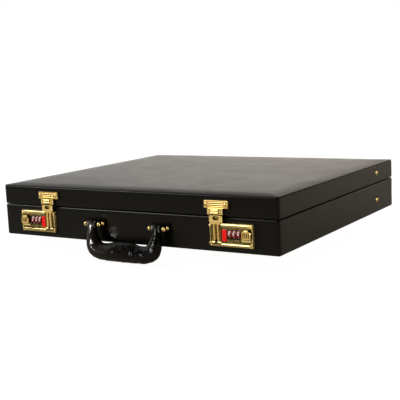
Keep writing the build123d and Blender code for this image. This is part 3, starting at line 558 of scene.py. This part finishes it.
def build_lid_wrap():
    """Side covering of the lid, from the rim at the seam up to the crease under the padded top."""
    low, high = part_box("lid_side_wrap")
    bottom, top = low.z, high.z
    rim_round, crease_drop = 1.9 * MM, 1.5 * MM
    rim_z, crease_z = bottom + rim_round, top - crease_drop
    profile = [(SKIN, top - 0.5 * MM), (SKIN, bottom + SKIN), (BOARD_EDGE, bottom + SKIN)]
    profile += [(BOARD_EDGE, bottom + FOLD), (BOARD_EDGE - FOLD, bottom), (2.6 * MM, bottom)]
    profile += list(reversed(arc_profile(0.0, rim_z, rim_round, bottom, 6)))
    profile += [(0.0, rim_z)]
    walls = 6
    for step in range(1, walls + 1):
        profile.append((0.0, rim_z + (crease_z - rim_z) * step / walls))
    profile += arc_profile(0.0, crease_z, 1.0 * MM, top, 4)
    rings = ring_loft(profile, 0.20 * MM, 7.7)
    work = loft(rings, cap_start=False, cap_end=False)
    bridge_ends(work, len(rings[0]), len(rings))
    wrap = make_piece("lid_side_covering", work, leatherette, "lid")
    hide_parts("lid_side_wrap")


def bridge_ends(work, count, ring_count):
    """Join the first and last rings of a tube, so that its wall is closed."""
    work.verts.ensure_lookup_table()
    last = (ring_count - 1) * count
    for index in range(count):
        after = (index + 1) % count
        corners = (last + index, last + after, after, index)
        work.faces.new([work.verts[i] for i in corners])


def build_lid_top():
    """Padded top: a small round edge, a long soft shoulder, then a field with slight slackness."""
    low, high = (corner.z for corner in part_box("lid_top_cover"))
    edge = 0.9 * MM
    roll, crown = 30.0 * MM, 120.0 * MM
    rise = high - low - edge
    roll_share, crown_share = 0.75, 0.25
    sag_start, sag_reach = 1.5 * MM, 30 * MM
    profile = [(1.2 * MM, low + 0.4 * MM), (0.7 * MM, low), (0.15 * MM, low + 0.25 * MM)]
    profile += arc_profile(0.0, low + 0.5 * MM, 0.7 * MM, low + edge, 5)
    for inset in (1.5, 2.5, 4, 6, 8, 10.5, 13, 16, 20, 25, 31, 38, 48, 60, 75, 92, 110, 130, 150, 170, 185):
        near = 1 - max(0.0, 1 - inset * MM / roll) ** 2
        far = 1 - max(0.0, 1 - inset * MM / crown) ** 2
        profile.append((inset * MM, low + edge + rise * (roll_share * near + crown_share * far)))
    rings = []
    for inset, z in profile:
        radius = max(CORNER - inset, 0.5 * MM)
        ring = rounded_ring(half_x - inset, half_y - inset, radius, z, seam=corner_seam(inset))
        settle = min(1.0, max(0.0, (inset - sag_start) / sag_reach))
        for point in ring:
            waves = ripple(point, 14.0, 0.14 * MM, 1.3) + ripple(point, 45.0, 0.04 * MM, 5.0)
            point.z -= settle * (0.15 * MM + waves)
        rings.append(ring)
    top = make_piece("lid_padded_top", loft(rings), leatherette, "lid")
    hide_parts("lid_top_cover", "lid_top_foam")


build_base_skin()
build_lid_wrap()
build_lid_top()


# ------------------------------------------------------------------ cloth inside
def build_lining(name, node, body, opening_up):
    """A shell of cloth on the inside of one half, with soft inner corners."""
    low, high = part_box(node)
    thick, corner = 1.0 * MM, 2.5 * MM
    if opening_up:
        floor, mouth, into = low.z, high.z, 1.0
    else:
        floor, mouth, into = high.z, low.z, -1.0
    inner_floor = floor + into * thick
    profile = [(0.0, floor), (0.0, mouth)]
    profile += [(0.3 * MM, mouth + into * 0.25 * MM), (0.8 * MM, mouth + into * 0.2 * MM)]
    profile += [(thick, mouth - into * 0.3 * MM), (thick, floor + into * 6.0 * MM)]
    profile += arc_profile(thick, floor + into * 4.0 * MM, 3.4 * MM, inner_floor, 5)
    profile += [(12 * MM, inner_floor), (60 * MM, inner_floor)]
    rings = [rounded_ring(high.x - inset, high.y - inset, corner, z) for inset, z in profile]
    piece = make_piece(name, loft(rings), velvet, body)
    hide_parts(node)


build_lining("base_velvet_lining", "base_lining", "base", True)
build_lining("lid_velvet_lining", "lid_lining", "lid", False)


def inflate(piece, sewn, pressure, cap):
    """Blow a sewn shape up with a short cloth simulation; no point moves further than the cap."""
    start = [vertex.co.copy() for vertex in piece.data.vertices]
    group = piece.vertex_groups.new(name="sewn")
    group.add(sewn, 1.0, "REPLACE")
    cloth = piece.modifiers.new("cloth", "CLOTH")
    cloth.settings.use_pressure = True
    cloth.settings.uniform_pressure_force = pressure
    cloth.settings.vertex_group_mass = "sewn"
    cloth.settings.effector_weights.gravity = 0.0
    cloth.settings.tension_stiffness = 12
    cloth.settings.bending_stiffness = 0.6
    scene = bpy.context.scene
    settle_frames = 20
    for step in range(1, settle_frames + 1):
        scene.frame_set(step)
    settled = bpy.data.meshes.new_from_object(piece.evaluated_get(bpy.context.evaluated_depsgraph_get()))
    piece.modifiers.clear()
    for vertex, old, new in zip(piece.data.vertices, start, settled.vertices):
        move = new.co - old
        if move.length > cap:
            move *= cap / move.length
        vertex.co = old + move
    bpy.data.meshes.remove(settled)
    piece.vertex_groups.clear()
    scene.frame_set(1)


def build_pad():
    """Padded cushion in the lid, which holds the chips down: cloth sewn into panels and inflated."""
    low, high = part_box("lid_pad")
    width, depth = high.x - low.x, high.y - low.y
    columns, rows = 6, 5
    per_cell = 10
    count_x, count_y = columns * per_cell, rows * per_cell
    margin = 2.0 * MM
    valley, puff_height = 8.5 * MM, 4.5 * MM
    edge_roll = 9 * MM
    work = bmesh.new()
    layers = []
    for layer in (0, 1):
        grid = []
        for j in range(count_y + 1):
            line = []
            for i in range(count_x + 1):
                u, v = i / count_x, j / count_y
                x = low.x + margin + (width - 2 * margin) * u
                y = low.y + margin + (depth - 2 * margin) * v
                z = high.z - 0.2 * MM
                if layer == 0:
                    puff = abs(math.sin(math.pi * u * columns)) * abs(math.sin(math.pi * v * rows))
                    fall = min(1.0, min(u, 1 - u) * width / edge_roll)
                    fall *= min(1.0, min(v, 1 - v) * depth / edge_roll)
                    z = low.z + valley - puff_height * puff ** 0.45
                    z += (1 - math.sqrt(max(fall, 0.0))) * (high.z - low.z - valley - 1.0 * MM)
                line.append(work.verts.new((x, y, z)))
            grid.append(line)
        layers.append(grid)
    lower, upper = layers
    for j in range(count_y):
        for i in range(count_x):
            work.faces.new((lower[j][i], lower[j + 1][i], lower[j + 1][i + 1], lower[j][i + 1]))
            work.faces.new((upper[j][i], upper[j][i + 1], upper[j + 1][i + 1], upper[j + 1][i]))
    for i in range(count_x):
        work.faces.new((lower[0][i], lower[0][i + 1], upper[0][i + 1], upper[0][i]))
        work.faces.new((lower[count_y][i + 1], lower[count_y][i], upper[count_y][i], upper[count_y][i + 1]))
    for j in range(count_y):
        work.faces.new((lower[j + 1][0], lower[j][0], upper[j][0], upper[j + 1][0]))
        work.faces.new((lower[j][count_x], lower[j + 1][count_x], upper[j + 1][count_x], upper[j][count_x]))
    work.verts.index_update()
    sewn = [vertex.index for line in upper for vertex in line]
    sewn += [
        lower[j][i].index for j in range(count_y + 1) for i in range(count_x + 1)
        if i % per_cell == 0 or j % per_cell == 0
    ]
    pad = make_piece("lid_cushion", work, velvet, "lid", 80.0)
    inflate(pad, sewn, 6.0, 3.8 * MM)
    rounder = pad.modifiers.new("rounder", "SUBSURF")
    rounder.levels = rounder.render_levels = 1
    apply_modifiers(pad)
    for vertex in pad.data.vertices:
        vertex.co.z = min(max(vertex.co.z, low.z), high.z)
    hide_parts("lid_pad")


build_pad()


# ------------------------------------------------------------------ handle
BOW_DROP = 48.5
REST_LEAN = math.radians(8.0)


def build_handle():
    """Padded grip: round section swept along the hanging bow, thicker in the middle, leaning out at rest."""
    pin_low, pin_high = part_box("handle_pins")
    bracket_low, bracket_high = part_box("handle_bracket_right")
    pivot = (pin_low + pin_high) / 2 / MM
    mount_x = (bracket_low.x + bracket_high.x) / 2 / MM
    bottom = pivot.z - BOW_DROP
    # half of the bow: (x, z of the centre, radius in the bow's plane, radius front to back)
    half = [
        (0.0, bottom + 13.75, 13.75, 12.2),
        (9.0, bottom + 13.6, 13.6, 12.2),
        (17.0, bottom + 13.1, 13.1, 12.0),
        (26.0, bottom + 12.3, 12.1, 11.6),
        (38.5, bottom + 13.0, 11.8, 11.0),
        (48.0, bottom + 17.8, 11.4, 10.4),
        (52.0, bottom + 28.0, 9.5, 9.4),
        (mount_x, bottom + 37.0, 7.3, 7.6),
        (mount_x, pivot.z - 6.5, 6.4, 6.6),
        (mount_x, pivot.z, 6.1, 6.2),
        (mount_x, pivot.z + 3.8, 5.2, 5.2),
        (mount_x, pivot.z + 6.0, 2.8, 2.8),
    ]
    stations = [(-x, z, a, b) for x, z, a, b in reversed(half)] + half[1:]
    fine = smooth_stations(stations, 9)
    around = 48
    wrinkle_top, wrinkle_fade = -7.0, 6.0
    seam_depth, seam_width = 0.45, 6.0
    lean = Matrix.Rotation(-REST_LEAN, 3, "X")
    rings = []
    for index, (x, z, across, deep) in enumerate(fine):
        before = fine[max(index - 1, 0)]
        after = fine[min(index + 1, len(fine) - 1)]
        tangent = Vector((after[0] - before[0], 0, after[1] - before[1])).normalized()
        sideways = Vector((tangent.z, 0, -tangent.x))
        ring = []
        for step in range(around):
            angle = 2 * math.pi * step / around
            offset = sideways * (across * math.cos(angle)) + Vector((0, deep * math.sin(angle), 0))
            point = Vector((x, 0, z - pivot.z)) + offset
            below_mount = min(1.0, max(0.0, (wrinkle_top - point.z) / wrinkle_fade))
            crinkle = ripple(point, 0.13, 0.45, 2.0) + ripple(point, 0.40, 0.22, 8.0)
            seam = seam_depth * math.exp(-((math.degrees(angle) - 180) / seam_width) ** 2)
            point += offset.normalized() * (crinkle - seam) * below_mount
            ring.append((lean @ point + Vector((0, pivot.y, pivot.z))) * MM)
        rings.append(ring)
    grip = make_piece("handle_padded_grip", loft(rings), handle_leather, "handle", 60.0)
    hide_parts("handle_grip")


def smooth_stations(stations, steps):
    """Catmull-Rom through stations of several values."""
    fine = []
    count = len(stations)
    for index in range(count - 1):
        a = stations[max(index - 1, 0)]
        b, c = stations[index], stations[index + 1]
        d = stations[min(index + 2, count - 1)]
        for step in range(steps):
            t = step / steps
            fine.append(tuple(
                0.5 * (
                    2 * q + (r - p) * t + (2 * p - 5 * q + 4 * r - s) * t * t
                    + (3 * q - p - 3 * r + s) * t ** 3
                )
                for p, q, r, s in zip(a, b, c, d)
            ))
    fine.append(stations[-1])
    return fine


build_handle()


# ------------------------------------------------------------------ number wheels
BAND = 0.945
DIGITS = 10


def build_wheel(side, index):
    """A number wheel: knurled rims either side of a plain band, with ten raised digits."""
    node = f"number_wheel_{side}_{index}"
    low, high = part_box(node)
    centre = (low + high) / 2
    radius = (high.z - low.z) / 2
    half = (high.x - low.x) / 2
    around, knurl_pitch, knurl_depth = 80, 8, 0.035
    profile = [
        (-1.0, 0.90), (-1.0, 0.95), (-0.94, 1.0), (-0.72, 1.0), (-0.68, BAND),
        (0.68, BAND), (0.72, 1.0), (0.94, 1.0), (1.0, 0.95), (1.0, 0.90),
    ]
    rings = []
    for across, share in profile:
        ring = []
        for step in range(around):
            angle = 2 * math.pi * step / around
            notch = knurl_depth if share == 1.0 and step % knurl_pitch in (0, 1) else 0.0
            reach = radius * (share - notch)
            round_axis = Vector((0.0, math.cos(angle), math.sin(angle)))
            ring.append(centre + Vector((across * half, 0.0, 0.0)) + round_axis * reach)
        rings.append(ring)
    wheel = make_piece(f"numbered_{node}", loft(rings), wheel_plastic, node)
    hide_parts(node)
    build_digits(node, centre, radius * BAND)


def build_digits(node, centre, band_radius):
    """Ten digits in one mesh, wrapped round the wheel's band."""
    letter_size = band_radius * 2 * math.pi / DIGITS * 1.12
    widen = 1.15
    joined = bmesh.new()
    for digit in range(DIGITS):
        text = bpy.data.curves.new("digit", "FONT")
        text.body = str(digit)
        text.size = letter_size
        text.align_x = "CENTER"
        text.align_y = "CENTER"
        text.resolution_u = 3
        text.extrude = 0.08 * MM
        text.offset = 0.09 * MM
        carrier = link_object("digit", text)
        bpy.context.view_layer.update()
        flat = bpy.data.meshes.new_from_object(carrier.evaluated_get(bpy.context.evaluated_depsgraph_get()))
        bpy.data.objects.remove(carrier)
        for vertex in flat.vertices:
            turn = vertex.co.y / band_radius - math.radians(360 / DIGITS * digit)
            reach = band_radius + 0.03 * MM + vertex.co.z
            vertex.co = Vector((
                centre.x + vertex.co.x * widen,
                centre.y - reach * math.cos(turn),
                centre.z + reach * math.sin(turn),
            ))
        joined.from_mesh(flat)
        bpy.data.meshes.remove(flat)
    make_piece(f"digits_{node}", joined, digit_paint, node)


for side in ("left", "right"):
    for index in (1, 2, 3):
        build_wheel(side, index)


# ------------------------------------------------------------------ stage, light and camera
STAGE_NEAR, STAGE_FAR = -1.0, 1.2
STAGE_WHITE = 0.97
AMBIENT = 0.03


def stage_material(name, near, far):
    """Seen straight on it is near white; in reflections it is dim in front of the case and bright behind."""
    shader = Shader(name)
    shader.colour(shader.mix(shader.noise(3.0), (0.22, 0.22, 0.22), (0.21, 0.21, 0.21)))
    shader.rough(shader.span(shader.noise(12.0), 0.85, 0.95))
    shader.normal(shader.bump(shader.noise(90.0), 0.02, 0.001))
    shader.set(Specular_IOR_Level=0.1)
    depth = shader.span(shader.along_y(), near, far, STAGE_NEAR, STAGE_FAR)
    seen = shader.node("ShaderNodeLightPath").outputs["Is Camera Ray"]
    glow = shader.mix(seen, (1.0, 0.86, 0.66), (1.0, 1.0, 1.0))
    shader.feed(glow, shader.surface.inputs["Emission Color"])
    shader.feed(shader.blend(seen, depth, STAGE_WHITE), shader.surface.inputs["Emission Strength"])
    return shader.material


def build_stage():
    """Pale floor just below the hanging handle, and a pale plinth under the case."""
    floor_z = cad_low.z - 1.5 * MM
    pale = stage_material("pale_stage", 0.02, 0.30)
    floor_work = bmesh.new()
    bmesh.ops.create_grid(floor_work, x_segments=8, y_segments=8, size=14.0)
    floor_mesh = bpy.data.meshes.new("floor")
    floor_work.to_mesh(floor_mesh)
    floor_work.free()
    floor = link_object("floor", floor_mesh)
    floor.location.z = floor_z
    floor_mesh.materials.append(pale)
    inset = 30 * MM
    corner, bevel = 12 * MM, 1 * MM
    rings = [
        rounded_ring(half_x - inset, half_y - inset, corner, z, 2, 2)
        for z in (floor_z, floor_z + bevel, -1.2 * MM)
    ]
    inset += bevel
    rings.append(rounded_ring(half_x - inset, half_y - inset, corner - bevel, -0.05 * MM, 2, 2))
    plinth_work = loft(rings)
    plinth_mesh = bpy.data.meshes.new("plinth")
    plinth_work.to_mesh(plinth_mesh)
    plinth_work.free()
    shade(plinth_mesh)
    plinth = link_object("plinth", plinth_mesh)
    plinth_mesh.materials.append(pale)


def area_light(name, place, target, size, power, colour=(1.0, 1.0, 1.0)):
    """A soft rectangular lamp at a place, aimed at a target."""
    data = bpy.data.lights.new(name, "AREA")
    data.shape = "RECTANGLE"
    data.size, data.size_y = size
    data.energy = power
    data.color = colour
    lamp = link_object(name, data)
    lamp.location = place
    lamp.rotation_euler = (Vector(target) - Vector(place)).to_track_quat("-Z", "Y").to_euler()
    return lamp


def link_receivers(lamp, materials, state):
    """Include or exclude the pieces that wear one of the materials from a lamp's light."""
    receivers = bpy.data.collections.new(f"{lamp.name}_receivers")
    for piece in bpy.data.objects:
        if piece.type == "MESH" and piece.data.materials and piece.data.materials[0] in materials:
            receivers.objects.link(piece)
    for entry in receivers.collection_objects:
        entry.light_linking.link_state = state
    lamp.light_linking.receiver_collection = receivers


def light_room():
    """General soft light. The handle is left out of the lamps above, which would grey its black."""
    centre = (0.0, 0.0, 0.0)
    key = area_light("key", (-1.3, -1.1, 1.3), (0.0, -0.1, 0.03), (0.7, 0.5), 10.5)
    top = area_light("top", (0.3, 0.5, 2.2), centre, (1.6, 1.0), 6.0)
    above = area_light("above", (-1.0, -0.55, 2.2), centre, (1.4, 1.1), 12.0, (1.0, 0.97, 0.90))
    for lamp in (key, top, above):
        link_receivers(lamp, {handle_leather, bracket_black}, "EXCLUDE")
    area_light("side", (2.0, 0.6, 0.8), (0.2, 0.0, 0.03), (0.9, 0.6), 5.0, (1.0, 0.90, 0.76))


def light_details():
    """Lamps that each reach only one kind of piece: the metal, the handle's leather or the plastic."""
    metal = {brass, plate_brass, hasp_brass, keeper_brass, knob_brass}
    leather = {handle_leather}
    plastic = {red_plastic, wheel_plastic, digit_paint}
    front = (0.0, -0.21, 0.02)
    card_place = Vector((-0.32, -0.62, -0.018))
    side_rivets = (0.2285, 0.12, 0.05)
    left_leg = (-0.066, -0.22, 0.004)
    # name, place, target, size in metres, power in watts, colour, materials that it reaches
    lamps = (
        ("card", card_place, card_place + Vector((0, 0, 1)), (1.1, 0.62), 0.95, (1.0, 0.88, 0.60), metal),
        ("gleam", (-0.42, -1.15, 0.52), front, (0.22, 0.55), 2.4, (1.0, 0.97, 0.90), metal),
        ("flank", (1.1, -0.55, 0.30), side_rivets, (1.1, 0.7), 6.0, (1.0, 0.94, 0.80), metal),
        ("strip", (-0.10, -1.25, 0.20), (-0.03, -0.21, 0.02), (0.14, 0.36), 3.2, (1.0, 1.0, 1.0), leather),
        ("spot", (-0.17, -0.66, 0.06), left_leg, (0.07, 0.12), 0.09, (1.0, 1.0, 1.0), leather),
        ("fill", (-0.1, -1.2, 0.45), front, (0.5, 0.3), 9.0, (1.0, 1.0, 1.0), plastic),
    )
    for name, place, target, size, power, colour, materials in lamps:
        lamp = area_light(name, place, target, size, power, colour)
        lamp.visible_camera = False
        link_receivers(lamp, materials, "INCLUDE")
        if name == "spot":
            lamp.data.spread = math.radians(9.0)


def build_world():
    """A white backdrop behind the case up to a low height, a bright side on the left, dark elsewhere."""
    world = bpy.data.worlds.new("studio")
    bpy.context.scene.world = world
    world.use_nodes = True
    sky = NodeTree(world.node_tree)
    background = sky.tree.nodes["Background"]
    direction = sky.node("ShaderNodeTexCoord").outputs["Generated"]

    def lobe(axis, edge, full, strength):
        """Brightness that rises from 0 at one cosine from an axis to full strength at another."""
        facing = sky.node("ShaderNodeVectorMath")
        facing.operation = "DOT_PRODUCT"
        sky.feed(direction, facing.inputs[0])
        facing.inputs[1].default_value = Vector(axis).normalized()
        ramp = sky.node("ShaderNodeMapRange", From_Min=edge, From_Max=full, To_Max=strength)
        ramp.interpolation_type = "SMOOTHSTEP"
        sky.feed(facing.outputs["Value"], ramp.inputs["Value"])
        return ramp.outputs["Result"]

    behind = lobe((-0.24, 0.97, 0.0), 0.70, 0.975, 2.25)
    low = lobe((0.0, 0.0, -1.0), -0.255, -0.08, 1.0)
    backdrop = sky.maths("MULTIPLY", behind, low)
    left = lobe((-0.95, 0.05, 0.30), 0.70, 0.97, 0.8)
    total = sky.maths("ADD", sky.maths("ADD", backdrop, left), AMBIENT)
    seen = sky.node("ShaderNodeLightPath").outputs["Is Camera Ray"]
    sky.feed(sky.blend(seen, total, 1.0), background.inputs["Strength"])
    warmth = lobe((0.6, 0.8, 0.0), 0.0, 0.9, 1.0)
    tint = sky.mix(warmth, (1.0, 0.985, 0.95), (1.0, 0.88, 0.74))
    sky.feed(sky.mix(seen, tint, (1.0, 1.0, 1.0)), background.inputs["Color"])
    bpy.context.scene.view_settings.view_transform = "Standard"


def build_camera():
    """The camera stands to the right of the front, a little above the lid, and leans slightly."""
    azimuth, drop, lean = math.radians(32.19), math.radians(8.83), math.radians(-2.58)
    distance = 1.350
    target = mm(-10.7, -2.0, 29.2)
    out = Vector((math.sin(azimuth) * math.cos(drop), -math.cos(azimuth) * math.cos(drop), math.sin(drop)))
    data = bpy.data.cameras.new("camera")
    data.sensor_width = 36.0
    data.lens = 77.72
    data.clip_start, data.clip_end = 0.05, 60.0
    camera = link_object("camera", data)
    camera.location = target + out * distance
    aim = (-out).to_track_quat("-Z", "Y").to_matrix()
    camera.rotation_euler = (aim @ Matrix.Rotation(lean, 3, "Z")).to_euler()
    bpy.context.scene.camera = camera


build_stage()
build_world()
light_room()
light_details()
build_camera()
